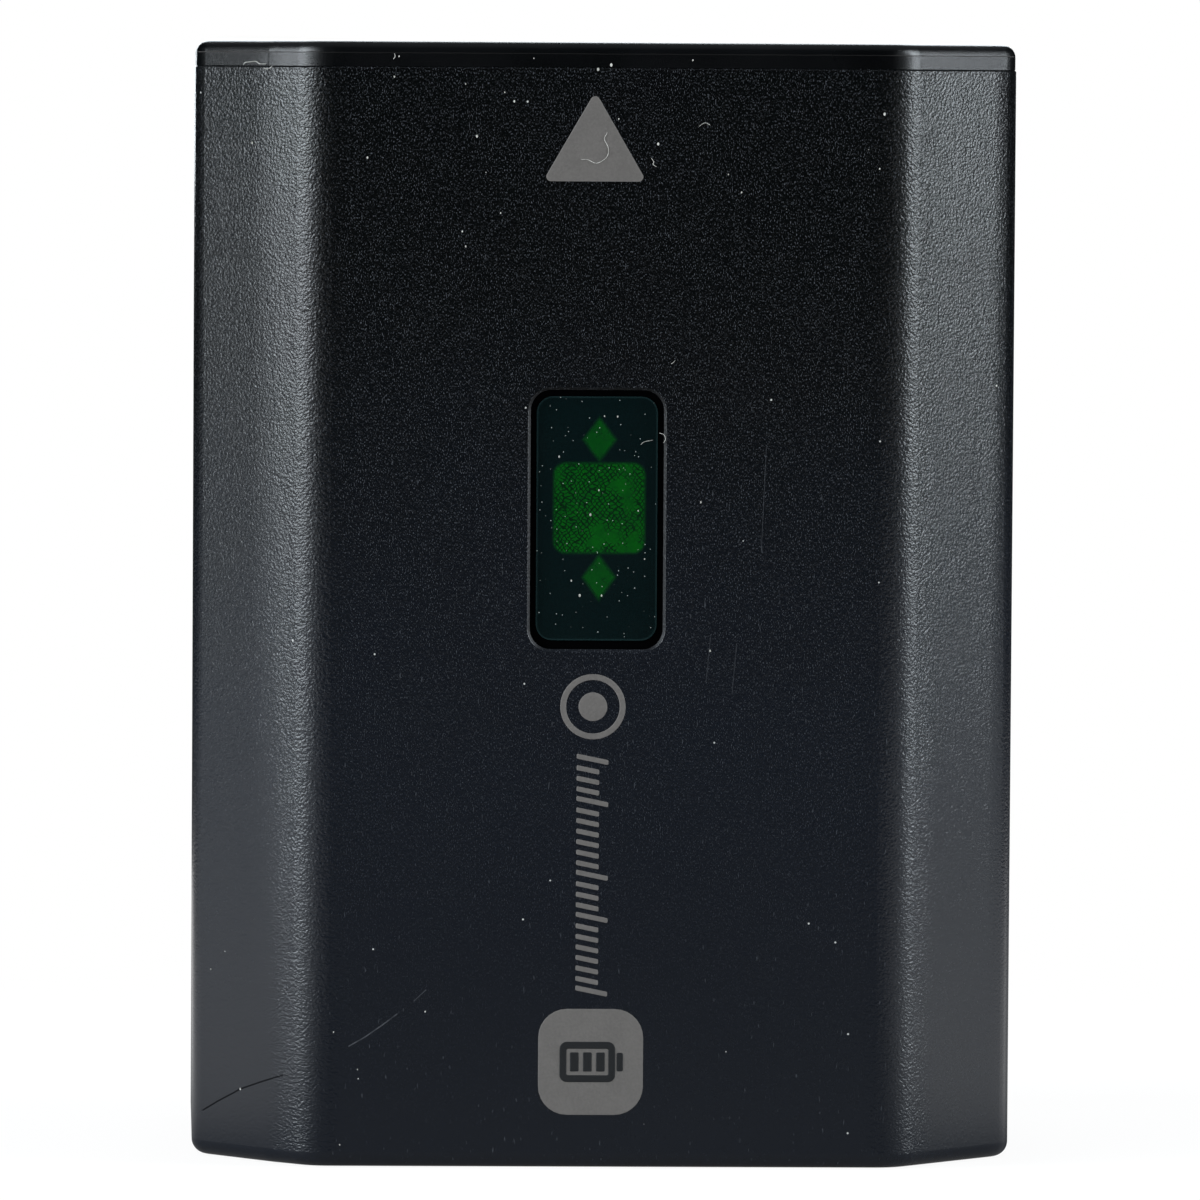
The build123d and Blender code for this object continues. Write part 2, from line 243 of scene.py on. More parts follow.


# moulded grain, worn smooth by handling towards the closed end, with scratches, painted glints, painted shade
# and reflection in its colour, and a recess painted black
def makeCasePlastic():
    look = casePlasticLook
    size = look["grainSize"]
    material, point = newFinish("case_plastic_grain")
    x, y, z = (axis / mm for axis in point.parts())
    pebble = point.noise(1 / size, 1.0, 0.5)
    fine = point.noise(look["fineScale"] / size, 0.0, 0.5)
    broad = point.noise(look["broadScale"], 3.0, 0.5)
    grain = pebble * (1 - look["fineShare"]) + fine * look["fineShare"]
    onFront = 1 - y.rise(*look["frontDepths"])
    keptGrainAndGlints = z.rise(*look["keptHeights"])
    chamfer = abs(x).rise(*look["chamferStarts"]) * onFront
    blend = chamfer * (1 - abs(x).rise(*look["blendEnds"]))
    worn = look["wornFlat"] + chamfer * (look["wornChamfer"] - look["wornFlat"])
    worn = worn + blend * (look["wornBlend"] - look["wornChamfer"])
    # painted highlights: glints as small lighter flecks and tall dashes, put into the colour
    glints = point.stretched(1, 1, look["glintStretch"]).noise(look["fineScale"] / size, 1.0, 0.6)
    glints = glints.rise(*look["glintRange"]) * (1 - chamfer * look["glintLoss"])
    glintDashes = point.stretched(1, 1, look["dashStretch"]).noise(look["dashScale"] / size, 1.0, 0.6)
    glintDashes = glintDashes.rise(*look["dashRange"]) * (abs(x) < look["dashWithin"])

    def scratch(points, widthShare):
        width = look["scratchWidth"] * widthShare
        return (1 - (lineDistance(x, z, points) / width).rise(0.5, 1.0)) * onFront

    dark = scratch(look["darkScratch"], 1.2)
    light = scratch(look["lightScratch"], 1.0).most(scratch(look["lightScratchEnd"], 0.8))
    broken = point.noise(look["breakScale"], 2.0, 0.6).rise(*look["breakRange"])
    light = light * (look["breakLeast"] + broken * (1 - look["breakLeast"]))
    faint = anyOf([scratch(points, 0.7) for points in look["faintScratches"]])

    middle = (labelLow + labelHigh) / 2 / mm
    reach = (labelHigh - labelLow) / 2 / mm + Vector((1, 1, 1)) * look["recessMargin"]
    inRecess = (abs(x - middle.x) < reach.x) * (abs(z - middle.z) < reach.z) * onFront
    depth = y - frontY / mm
    # painted shade: deep in the label's recess the case turns dull black, and on the recess rim a share of
    # that black
    rim = depth.rise(*look["rimDepths"]) * inRecess
    gap = depth.rise(*look["recessShadeDepths"]) * inRecess
    scratchAndShade = anyOf([dark * look["darkMatte"], gap, rim * look["rimShade"]])

    dust = dustSpecks(point, *look["dust"])
    mottle = broad * look["broadShare"] + grain * (1 - look["broadShare"]) - 0.5
    # painted shade and painted reflection: the colour runs from lighter low down to darker at the top, with
    # random mottle on it
    tone = z.rise(*look["shadeHeights"]) + mottle * look["toneMottle"]
    colour = tone.rise(0.0, 1.0).mix(look["litLowColour"], look["shadedTopColour"])
    # painted highlights lighten the colour: the glints fade towards the bottom with height, the dashes lie
    # across the front
    bright = glints * (look["glintLow"] + keptGrainAndGlints * (1 - look["glintLow"]))
    colour = bright.most(glintDashes * look["dashGlintStrength"]).mix(colour, look["glintColour"])
    scraped = light * look["lightStrength"] + faint * look["faintStrength"]
    colour = scraped.mix(colour, look["scratchColour"])
    colour = dust.mix(colour, dustLook["colour"])
    roughness = look["roughness"] + (grain - 0.5) * look["grainDull"] + (broad - 0.5) * look["broadDull"]
    roughness = roughness + dust * look["dustDull"] + rim * look["rimDull"]
    relief = grain * (worn + keptGrainAndGlints * (1 - worn)) * (1 + blend * look["blendGrain"])
    shoulder = (x - look["softShoulder"]).most(0.0)  # the right shoulder turns away a little sooner
    height = relief * look["grainDepth"] + easedCrease(x, y, z)
    height = height - shoulder * shoulder * onFront * look["shoulderFall"]
    coatWith(point, {"Base Color": colour, "Roughness": roughness, "IOR": look["ior"],
                     "Normal": height.bumped(1.0, mm)}, scratchAndShade)
    return material


capPlasticLook = dict(
    colour=shade(1, 2, 3), paleColour=shade(5, 6, 8), paleRange=(0.3, 0.8), broadScale=140.0, ior=1.46,
    roughness=0.27, broadDull=0.14, dustDull=0.4, grainSize=0.05 * mm, grainDepth=0.009,
    ledgeBelowTop=0.53, ledgeDepth=0.03, ledgeHalf=0.022, ledgeWander=0.05, wanderScale=1300.0,
    dust=(1600.0, 0.05, 0.05 * mm))


# smooth moulding with a faint ledge that wanders along its top edge
def makeCapPlastic():
    look = capPlasticLook
    material, point = newFinish("cap_plastic_smooth")
    x, y, z = (axis / mm for axis in point.parts())
    grain = point.noise(1 / look["grainSize"], 2.0, 0.5)
    broad = point.noise(look["broadScale"], 3.0, 0.55)
    wander = (point.noise(look["wanderScale"], 2.0, 0.6) - 0.5) * look["ledgeWander"]
    ledgeHeight = cadHigh.z / mm - look["ledgeBelowTop"]
    ledge = (z + wander - ledgeHeight).rise(-look["ledgeHalf"], look["ledgeHalf"])
    dust = dustSpecks(point, *look["dust"])
    colour = broad.rise(*look["paleRange"]).mix(look["colour"], look["paleColour"])
    colour = dust.mix(colour, dustLook["colour"])
    roughness = look["roughness"] + (broad - 0.5) * look["broadDull"] + dust * look["dustDull"]
    height = grain * look["grainDepth"] + ledge * look["ledgeDepth"] + easedCrease(x, y, z)
    coatWith(point, {"Base Color": colour, "Roughness": roughness, "IOR": look["ior"],
                     "Normal": height.bumped(1.0, mm)})
    return material


# the block is its middle across and up, its half sizes and its corner; a lozenge its middle and half sizes
labelFilmLook = dict(
    base=shade(3, 16, 17), edge=shade(16, 34, 35), green=shade(1, 70, 10), darkGreen=shade(2, 24, 9),
    soft=0.11, corner=0.75, borderEnds=(-0.10, -0.04),
    block=(0.11, 0.48, 2.08, 2.06, 0.55),
    lozenges=((0.11, 3.62, 0.74, 0.98), (0.11, -2.70, 0.74, 1.02)), lozengeStrength=0.72,
    weavePitch=0.27, weaveRange=(0.20, 0.65), weaveStrength=0.9, sway=9.0, swayScale=1700.0,
    patchScale=760.0, patchRange=(0.28, 0.50), mottleScale=2400.0, mottleRange=(0.2, 0.7), mottleShare=0.35,
    roughness=0.16, smearScale=300.0, smearDull=0.08, dustDull=0.5,
    waveScale=500.0, waveStrength=0.12, waveDepth=0.05 * mm,
    dustColour=shade(160, 166, 162), dust=(4200.0, 0.65, 0.036 * mm))


# how far outside a rounded box a place lies: past its straight sides, and round its corners by their radius
def outsideBox(u, v, halfU, halfV, radius):
    pastU = (abs(u) - halfU + radius).most(0.0)
    pastV = (abs(v) - halfV + radius).most(0.0)
    return (pastU ** 2 + pastV ** 2).root() - radius


# glossy dark film with a woven green block between two lozenges, and a paler cut edge
def makeLabelFilm():
    look = labelFilmLook
    material, point = newFinish("label_film_green")
    x, _, z = point.parts()
    middle = (labelLow + labelHigh) / 2
    half = (labelHigh - labelLow) / 2 / mm
    u = (x - middle.x) / mm
    v = (z - middle.z) / mm
    soft = look["soft"]

    def lozenge(middleU, middleV, halfU, halfV):
        outside = abs(u - middleU) / halfU + abs(v - middleV) / halfV
        return 1 - outside.rise(1 - soft * 2, 1 + soft * 2)

    blockU, blockV, halfU, halfV, radius = look["block"]
    block = 1 - outsideBox(u - blockU, v - blockV, halfU, halfV, radius).rise(-soft, soft)
    lozenges = anyOf([lozenge(*each) for each in look["lozenges"]])
    sway = point.noise(look["swayScale"], 2.0, 0.6) * look["sway"]
    turn = math.pi / look["weavePitch"]
    weave = abs(((u + v) * turn + sway).sine()).least(abs(((u - v) * turn + sway).sine()))
    patches = point.noise(look["patchScale"], 2.0, 0.55).rise(*look["patchRange"])
    mottle = point.noise(look["mottleScale"], 2.0, 0.6).rise(*look["mottleRange"])
    ink = block.most(lozenges * look["lozengeStrength"])
    ink = ink * (1 - look["mottleShare"] + mottle * look["mottleShare"])
    deep = (1 - weave.rise(*look["weaveRange"])) * block * patches
    border = outsideBox(u, v, half.x, half.z, look["corner"]).rise(*look["borderEnds"])
    dust = dustSpecks(point, *look["dust"])
    greens = (deep * look["weaveStrength"]).mix(look["green"], look["darkGreen"])
    colour = ink.mix(look["base"], greens)
    colour = border.mix(colour, look["edge"])
    colour = dust.mix(colour, look["dustColour"])
    smear = point.noise(look["smearScale"], 3.0, 0.6)
    roughness = look["roughness"] + smear * look["smearDull"] + dust * look["dustDull"]
    normal = point.noise(look["waveScale"], 2.0, 0.5).bumped(look["waveStrength"], look["waveDepth"])
    coatWith(point, {"Base Color": colour, "Roughness": roughness, "Normal": normal})
    return material


inkLook = dict(colour=shade(97, 93, 90), darkColour=shade(18, 20, 23), roughness=0.55, grainDull=0.2,
               patchScale=700.0, grainShare=0.6, grainStrength=0.4)


# ink that takes on the grain of the case beneath, with painted shade a share darker in its hollows, mixed with
# random patches
def makeInk(name, colour, mottled):
    look = inkLook
    material, point = newFinish(name)
    grain = point.noise(1 / casePlasticLook["grainSize"], 2.0, 0.55)
    patch = point.noise(look["patchScale"], 3.0, 0.6)
    darker = tuple(c * mottled for c in colour[:3]) + (1.0,)
    hollowShadeAndPatches = grain * look["grainShare"] + patch * (1 - look["grainShare"])
    tone = hollowShadeAndPatches.rise(0.3, 0.7).mix(darker, colour)
    roughness = look["roughness"] + (grain - 0.5) * look["grainDull"]
    normal = grain.bumped(look["grainStrength"], casePlasticLook["grainDepth"] * mm)
    coatWith(point, {"Base Color": tone, "Roughness": roughness, "Normal": normal})
    return material


# finishes of the pieces inside, each with its own colour, fleck and gloss
innerLooks = {
    "cell_film": dict(colour=shade(34, 88, 150), fleck=shade(26, 70, 124), scale=260.0,
                      roughness=0.32, depth=0.01),
    "ring_paper": dict(colour=shade(214, 206, 186), fleck=shade(190, 178, 150), scale=1500.0,
                       roughness=0.85, depth=0.03),
    "pad_foam": dict(colour=shade(44, 45, 48), fleck=shade(26, 27, 29), scale=2400.0,
                     roughness=0.95, depth=0.10),
    "sheet_paper": dict(colour=shade(206, 188, 140), fleck=shade(178, 156, 106), scale=1300.0,
                        roughness=0.80, depth=0.02),
    "chip_epoxy": dict(colour=shade(30, 30, 32), fleck=shade(48, 48, 50), scale=5200.0,
                       roughness=0.62, depth=0.01),
    "part_ceramic": dict(colour=shade(164, 132, 96), fleck=shade(132, 104, 74), scale=2600.0,
                         roughness=0.45, depth=0.01),
    "block_plastic": dict(colour=shade(24, 24, 26), fleck=shade(34, 35, 37), scale=900.0,
                          roughness=0.45, depth=0.01),
}


def makeInner(name):
    look = innerLooks[name]
    material, point = newFinish(name + "_finish")
    fleck = point.noise(look["scale"], 3.0, 0.6)
    broad = point.noise(120.0, 2.0, 0.5)
    colour = (fleck * 0.7 + broad * 0.3).rise(0.3, 0.7).mix(look["colour"], look["fleck"])
    roughness = look["roughness"] + (broad - 0.5) * 0.15
    coatWith(point, {"Base Color": colour, "Roughness": roughness,
                     "Normal": fleck.bumped(0.5, look["depth"] * mm)})
    return material


# rolled or plated metal: fine lines along the piece, a little uneven in tone and gloss
metalLooks = {
    "strap_nickel": dict(colour=shade(196, 190, 178), dull=shade(160, 152, 140), roughness=0.34,
                         lines=(9000, 600, 600)),
    "contact_plating": dict(colour=shade(232, 192, 104), dull=shade(196, 150, 70), roughness=0.24,
                            lines=(700, 700, 9000)),
}


def makeMetal(name):
    look = metalLooks[name]
    material, point = newFinish(name + "_finish")
    lines = point.stretched(*look["lines"]).noise(1.0, 2.0, 0.5)
    broad = point.noise(700.0, 2.0, 0.5)
    colour = (lines * 0.5 + broad * 0.5).rise(0.3, 0.7).mix(look["dull"], look["colour"])
    roughness = look["roughness"] + (lines - 0.5) * 0.2
    coatWith(point, {"Base Color": colour, "Roughness": roughness, "Metallic": 1.0,
                     "Normal": lines.bumped(0.3, 0.004 * mm)})
    return material


boardLook = dict(mask=shade(12, 62, 40), track=shade(30, 104, 66), across=5.2, along=0.9,
                 roughness=0.3, weaveDull=0.15, depth=0.02 * mm)


# solder mask over copper: rows of tracks lie a shade lighter under the green
def makeBoardLaminate():
    look = boardLook
    material, point = newFinish("board_laminate_finish")
    x, _, z = (axis / mm for axis in point.parts())
    tracks = (x * look["across"]).sine().rise(0.55, 0.75) * (z * look["along"]).sine().rise(-0.2, 0.1)
    weave = point.noise(1800.0, 2.0, 0.6)
    colour = (tracks * 0.7 + weave * 0.3).mix(look["mask"], look["track"])
    coatWith(point, {"Base Color": colour, "Roughness": look["roughness"] + weave * look["weaveDull"],
                     "Normal": (tracks + weave * 0.2).bumped(0.5, look["depth"])})
    return material


finishes = {"case_plastic": makeCasePlastic(), "cap_plastic": makeCapPlastic(), "label_film": makeLabelFilm(),
            "board_laminate": makeBoardLaminate()}
finishes.update({name: makeInner(name) for name in innerLooks})
finishes.update({name: makeMetal(name) for name in metalLooks})
for piece in nodes.values():
    for slot in piece.material_slots:
        slot.material = finishes[slot.name.split(".")[0]]
printGrey = makeInk("print_grey", inkLook["colour"], 0.82)
printDark = makeInk("print_dark", inkLook["darkColour"], 0.7)
print("finishes made:", len(finishes) + 2)


# quads of a grid of points, rows by columns; the columns go round, and the rows may go round too
def gridFaces(rows, columns, rowsGoRound):
    i = np.arange(rows if rowsGoRound else rows - 1)[:, None]
    j = np.arange(columns)[None, :]
    below = (i + 1) % rows
    beside = (j + 1) % columns
    return np.stack(np.broadcast_arrays(i * columns + j, i * columns + beside, below * columns + beside,
                                        below * columns + j), -1).reshape(-1, 4)


# puts grids of points into one mesh, closes poles and seams, and turns the faces outwards
def pieceFrom(name, grids, material, smooth):
    points, faces, count = [], [], 0
    for grid, rowsGoRound in grids:
        rows, columns, _ = grid.shape
        points.append(grid.reshape(-1, 3))
        faces.append(gridFaces(rows, columns, rowsGoRound) + count)
        count += rows * columns
    mesh = bpy.data.meshes.new(name)
    mesh.from_pydata(np.concatenate(points), [], np.concatenate(faces))
    solid = bmesh.new()
    solid.from_mesh(mesh)
    bmesh.ops.remove_doubles(solid, verts=solid.verts, dist=1e-8)
    bmesh.ops.recalc_face_normals(solid, faces=solid.faces)
    solid.to_mesh(mesh)
    solid.free()
    mesh.polygons.foreach_set("use_smooth", np.full(len(mesh.polygons), smooth))
    mesh.materials.append(material)
    piece = bpy.data.objects.new(name, mesh)
    bpy.context.scene.collection.objects.link(piece)
    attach(piece, "root")
    return piece


# a polygon with an arc in each corner: the arc's centre lies on the corner's bisector
def roundedOutline(corners, radius, steps):
    corner = np.array(corners, float)
    before = np.roll(corner, 1, 0) - corner
    after = np.roll(corner, -1, 0) - corner
    before /= np.linalg.norm(before, axis=1)[:, None]
    after /= np.linalg.norm(after, axis=1)[:, None]
    half = np.arccos((before * after).sum(1)) / 2
    inward = before + after
    inward /= np.linalg.norm(inward, axis=1)[:, None]
    centre = corner + inward * (radius / np.sin(half))[:, None]
    reach = (radius / np.tan(half))[:, None]
    first = corner + before * reach - centre
    last = corner + after * reach - centre
    start = np.arctan2(first[:, 1], first[:, 0])
    sweep = (np.arctan2(last[:, 1], last[:, 0]) - start + np.pi) % (2 * np.pi) - np.pi
    angle = start[:, None] + sweep[:, None] * np.linspace(0, 1, steps)
    arc = np.stack([np.cos(angle), np.sin(angle)], -1) * radius
    return (centre[:, None] + arc).reshape(-1, 2)


# a ring of points: the radius turned through equal angles
def ringOutline(radius, steps):
    angle = np.linspace(0, 2 * np.pi, steps, endpoint=False)
    return np.stack([np.cos(angle), np.sin(angle)], -1) * radius


# the outline drawn in by a distance, each point along the bisector of its two runs
def drawnIn(outline, distance):
    run = np.roll(outline, -1, 0) - np.roll(outline, 1, 0)
    run /= np.linalg.norm(run, axis=1)[:, None]
    turn = np.sign((outline * np.roll(np.roll(outline, -1, 0), 1, 1) * [1, -1]).sum())
    return outline + np.stack([-run[:, 1], run[:, 0]], -1) * distance * turn


printFilm = dict(thickness=0.020 * mm, softEdge=0.025, edgeShare=0.55, sunk=0.004 * mm, cornerSteps=8)


# an ink film: rings of its outline stacked from its middle over the soft edge to below the face, then closed
# beneath; with a hole, the rings go on from the inner outline back under to the outer one
def filmGrid(outline, place, lift=0.0, hole=None):
    film = printFilm
    top = -film["thickness"] - lift
    low = film["sunk"] - lift
    edge = top * film["edgeShare"] + low * (1 - film["edgeShare"])
    rings = [(outline, low), (outline, edge), (drawnIn(outline, film["softEdge"]), top)]
    if hole is None:
        middle = np.zeros_like(outline) + outline.mean(0)
        rings = [(middle, low)] + rings + [(middle, top)]
    else:
        rings += [(drawnIn(hole, -film["softEdge"]), top), (hole, edge), (hole, low)]
    grid = np.zeros((len(rings), len(outline), 3))
    for row, (ring, height) in zip(grid, rings):
        row[:, 0] = (ring[:, 0] + place[0]) * mm
        row[:, 1] = frontY + height
        row[:, 2] = (ring[:, 1] + place[1]) * mm
    return grid, hole is not None


# a rounded box, its left end raised and its right end lowered by the slant
def boxOutline(width, height, radius, slant=0.0):
    w, h = width / 2, height / 2
    corners = [(-w, -h + slant), (w, -h - slant), (w, h - slant), (-w, h + slant)]
    return roundedOutline(corners, radius, printFilm["cornerSteps"])


# the marks: places on the front across and up from the bottom, and sizes, in millimetres
arrowMark = dict(place=(-0.64, 45.34), width=4.76, height=4.12, corner=0.22, cornerSteps=10)
halfArrow = arrowMark["width"] / 2
arrow = roundedOutline([(-halfArrow, 0), (halfArrow, 0), (0, arrowMark["height"])],
                       arrowMark["corner"], arrowMark["cornerSteps"])
pieceFrom("arrow_mark", [filmGrid(arrow, arrowMark["place"])], printGrey, False)

roundMark = dict(place=(-0.58, 21.27), radius=1.50, stroke=0.27, steps=72, dot=0.66, dotSteps=40)
ringOuter = ringOutline(roundMark["radius"], roundMark["steps"])
ringInner = ringOutline(roundMark["radius"] - roundMark["stroke"], roundMark["steps"])
dot = ringOutline(roundMark["dot"], roundMark["dotSteps"])
pieceFrom("round_mark", [filmGrid(ringOuter, roundMark["place"], hole=ringInner),
                         filmGrid(dot, roundMark["place"])], printGrey, False)

tickRow = dict(place=(-0.58, 18.85), pitch=0.485, count=23, long=1.46, short=1.04, thick=0.23, slant=0.15,
               corner=0.06, cycle=11, longOnes=(0, 4))
ticks = []
for tick in range(tickRow["count"]):
    reach = tickRow["long"] if tick % tickRow["cycle"] in tickRow["longOnes"] else tickRow["short"]
    shape = boxOutline(reach, tickRow["thick"], tickRow["corner"], tickRow["slant"] * reach / tickRow["long"])
    across = tickRow["place"][0] - (tickRow["long"] - reach) / 2
    ticks.append(filmGrid(shape, (across, tickRow["place"][1] - tick * tickRow["pitch"])))
pieceFrom("tick_row", ticks, printGrey, False)

badge = dict(place=(-0.59, 4.91), width=4.82, height=4.89, corner=1.32, signWidth=2.56, signHeight=1.86,
             signStroke=0.32, signCorner=0.34, innerCorner=0.08, nubWidth=0.30, nubHeight=0.86, nubCorner=0.08,
             nubGap=0.06, bars=3, barWidth=0.40, barGap=0.20, barMargin=0.17, barCorner=0.05)
plate = boxOutline(badge["width"], badge["height"], badge["corner"])
pieceFrom("badge_plate", [filmGrid(plate, badge["place"])], printGrey, False)
signX = badge["place"][0] - badge["nubWidth"] / 2
signZ = badge["place"][1]
innerWidth = badge["signWidth"] - 2 * badge["signStroke"]
innerHeight = badge["signHeight"] - 2 * badge["signStroke"]
cellOuter = boxOutline(badge["signWidth"], badge["signHeight"], badge["signCorner"])
cellInner = boxOutline(innerWidth, innerHeight, badge["innerCorner"])
nub = boxOutline(badge["nubWidth"], badge["nubHeight"], badge["nubCorner"])
nubX = signX + badge["signWidth"] / 2 + badge["nubWidth"] / 2 + badge["nubGap"]
barShape = boxOutline(badge["barWidth"], innerHeight - 2 * badge["barMargin"], badge["barCorner"])
overPrint = printFilm["thickness"]
sign = [filmGrid(cellOuter, (signX, signZ), overPrint, cellInner), filmGrid(nub, (nubX, signZ), overPrint)]
for bar in range(badge["bars"]):
    shift = (bar - (badge["bars"] - 1) / 2) * (badge["barWidth"] + badge["barGap"])
    sign.append(filmGrid(barShape, (signX + shift, signZ), overPrint))
pieceFrom("badge_sign", sign, printDark, False)
print("marks printed")


# places in millimetres, as x and z on a face, or with the depth between them where they lie elsewhere
lint = dict(
    radius=0.012, stepsPerRun=10, sides=8, dark=shade(146, 144, 138), pale=shade(196, 194, 188),
    roughness=0.8, partingLift=0.03,
    onArrow=[[(-0.06, 47.61), (-0.21, 47.29), (-0.03, 46.86), (-0.11, 46.45), (-0.55, 46.18),
              (-0.96, 46.33), (-1.31, 46.35)]],
    onFront=[[(1.93, 46.43), (2.05, 46.26), (2.02, 46.14), (2.19, 46.02)],
             [(2.38, 33.85), (2.59, 33.77), (2.67, 33.56), (2.56, 33.38)],
             [(2.90, 37.02), (2.99, 37.07), (3.09, 37.18)],
             [(4.10, 47.88), (4.38, 48.05), (4.63, 47.95)],
             [(-9.84, 51.14), (-9.80, 51.00), (-9.88, 50.87)]],
    atParting=[[(-16.77, -8.47, 50.56), (-16.68, -8.52, 50.68), (-16.44, -8.75, 50.71),
                (-16.21, -9.00, 50.74), (-16.06, -9.16, 50.66), (-15.97, -9.26, 50.62),
                (-15.69, -9.54, 50.62)],
               [(-15.83, -9.42, 50.45), (-15.69, -9.56, 50.39), (-15.50, -9.74, 50.45),
                (-15.43, -9.80, 50.54)]],
    onLabel=[[(1.54, 33.30), (1.73, 33.44), (2.12, 33.51)]])


# a lint fibre: a round section carried along a smooth line through its points, thinning at both ends;
# the line is a Catmull-Rom curve in space, and the section stands square to its run
def fibreGrid(points):
    p = np.array(points, float)
    p = np.concatenate([2 * p[:1] - p[1:2], p, 2 * p[-1:] - p[-2:-1]])
    t = np.linspace(0, 1, lint["stepsPerRun"], endpoint=False)[None, :, None]
    a, b, c, d = (p[i:len(p) - 3 + i, None] for i in range(4))
    bend = (2 * a - 5 * b + 4 * c - d) * t ** 2 + (3 * b - a - 3 * c + d) * t ** 3
    line = 0.5 * (2 * b + (c - a) * t + bend)
    line = np.concatenate([line.reshape(-1, 3), p[-2:-1]])
    run = np.gradient(line, axis=0)
    side = np.cross(run, [0, 1, 0])
    out = np.cross(run, side)
    side, out = (way / np.linalg.norm(way, axis=1)[:, None] for way in (side, out))
    share = np.linspace(0, 1, len(line))
    thick = lint["radius"] * np.sqrt(np.clip(1 - (2 * share - 1) ** 8, 0, 1))[:, None, None]
    angle = np.linspace(0, 2 * np.pi, lint["sides"], endpoint=False)[None, :, None]
    section = np.cos(angle) * side[:, None] + np.sin(angle) * out[:, None]
    return (line[:, None] + section * thick) * mm, False


# each line of places laid at one depth, just clear of the face
def laid(lines, face):
    return [fibreGrid([(x, face - lint["radius"], z) for x, z in line]) for line in lines]


# places as for the lint, each with its size last
specks = dict(
    rows=7, columns=10, scale=0.72, flat=0.5, tall=1.5,
    onFront=[(-0.52, 50.46, 0.075), (0.08, 50.66, 0.075), (-3.46, 50.95, 0.03), (3.81, 50.90, 0.04),
             (-4.34, 48.98, 0.055), (-4.78, 49.39, 0.035), (0.44, 48.20, 0.04), (2.25, 47.07, 0.065),
             (-4.94, 43.88, 0.035), (-9.62, 51.00, 0.04), (-9.83, 50.07, 0.045), (-6.57, 49.76, 0.035),
             (-6.04, 47.38, 0.065), (-11.04, 46.37, 0.055), (-6.69, 43.02, 0.04), (-6.53, 42.34, 0.045),
             (12.60, 48.50, 0.07), (12.40, 46.00, 0.04), (-8.20, 7.20, 0.045), (-12.40, 6.24, 0.035),
             (-11.30, 4.52, 0.035), (-11.26, 4.10, 0.03), (-12.10, 1.04, 0.04), (4.31, 30.68, 0.05),
             (4.78, 23.86, 0.05), (6.08, 44.88, 0.045), (5.47, 45.70, 0.035)],
    onLabel=[(-0.36, 31.20, 0.045), (-0.74, 30.07, 0.065), (-1.21, 26.36, 0.065), (-1.60, 27.04, 0.045),
             (-0.21, 26.36, 0.05), (-2.19, 32.73, 0.05), (0.48, 34.58, 0.045), (-0.12, 34.60, 0.035),
             (1.45, 30.26, 0.04), (1.76, 28.05, 0.04)],
    onChamfer=[(-16.33, -8.90, 47.00, 0.055), (-16.70, -8.50, 3.30, 0.055), (-18.12, -7.04, 8.72, 0.035)])


# a speck of dust: a small ball from its latitude and longitude, flattened front to back and drawn up tall
def speckGrid(x, y, z, size):
    height = np.linspace(-np.pi / 2, np.pi / 2, specks["rows"])[:, None]
    angle = np.linspace(0, 2 * np.pi, specks["columns"], endpoint=False)[None, :]
    ball = np.stack([np.cos(height) * np.cos(angle), np.cos(height) * np.sin(angle) * specks["flat"],
                     np.sin(height) * specks["tall"] + angle * 0], -1)
    return (np.array((x, y, z)) + ball * size * specks["scale"]) * mm, False


def makeFibre():
    material, point = newFinish("lint_fibre")
    tone = point.noise(3000.0, 2.0, 0.5).rise(0.3, 0.7)
    coatWith(point, {"Base Color": tone.mix(lint["dark"], lint["pale"]), "Roughness": lint["roughness"]})
    return material


fibreFinish = makeFibre()
front = frontY / mm
label = labelLow.y / mm
lift = lint["partingLift"]
fibres = laid(lint["onArrow"], front - printFilm["thickness"] / mm) + laid(lint["onFront"], front)
fibres += [fibreGrid([(x, y - lift, z) for x, y, z in line]) for line in lint["atParting"]]
fibres += laid(lint["onLabel"], label)
pieceFrom("lint_fibres", fibres, fibreFinish, True)
dots = [speckGrid(x, front, z, size) for x, z, size in specks["onFront"]]
dots += [speckGrid(x, label, z, size) for x, z, size in specks["onLabel"]]
dots += [speckGrid(*place) for place in specks["onChamfer"]]
pieceFrom("dust_specks", dots, fibreFinish, True)
print("lint laid")


# in metres: the floor lies a hair below the closed end; beside the object it is mirrored brighter
floorSet = dict(radius=0.16, height=-0.02 * mm, steps=96, shadowDepth=0.09, shadowRange=(0.035, 0.085),
                mirrored=0.16, mirroredBeside=1.0, besideRange=(0.018, 0.045), bounce=(0.8, 0.8, 0.8, 1))
white = (1, 1, 1, 1)
black = (0, 0, 0, 1)


# the floor is plain white to the eye, less the share of lamp light that the shadow takes away close by
def makeFloor():
    look = floorSet
    material, point = newFinish("floor_white")
    x, y, _ = point.parts()
    near = 1 - (x * x + y * y).root().rise(*look["shadowRange"])
    rays = ("Is Camera Ray", "Is Glossy Ray", "Is Transmission Ray")
    eye, shine, through = point.add("ShaderNodeLightPath", {}, {}, rays)
    seen = anyOf([eye, shine, through])
    part = near * look["shadowDepth"]
    shadowPart = point.add("ShaderNodeBsdfDiffuse", {}, {"Color": part.mix(black, white)})
    beside = abs(x).rise(*look["besideRange"])
    mirrored = look["mirrored"] + beside * (look["mirroredBeside"] - look["mirrored"])
    strength = (1 - part) * (1 - shine * (1 - mirrored))
    whitePart = point.add("ShaderNodeEmission", {}, {"Color": white, "Strength": strength})
    lit = point.add("ShaderNodeAddShader", {}, {0: shadowPart, 1: whitePart})
    plain = point.add("ShaderNodeBsdfDiffuse", {}, {"Color": look["bounce"]})
    surface = point.add("ShaderNodeMixShader", {}, {0: seen, 1: plain, 2: lit})
    point.add("ShaderNodeOutputMaterial", {}, {"Surface": surface})
    return material


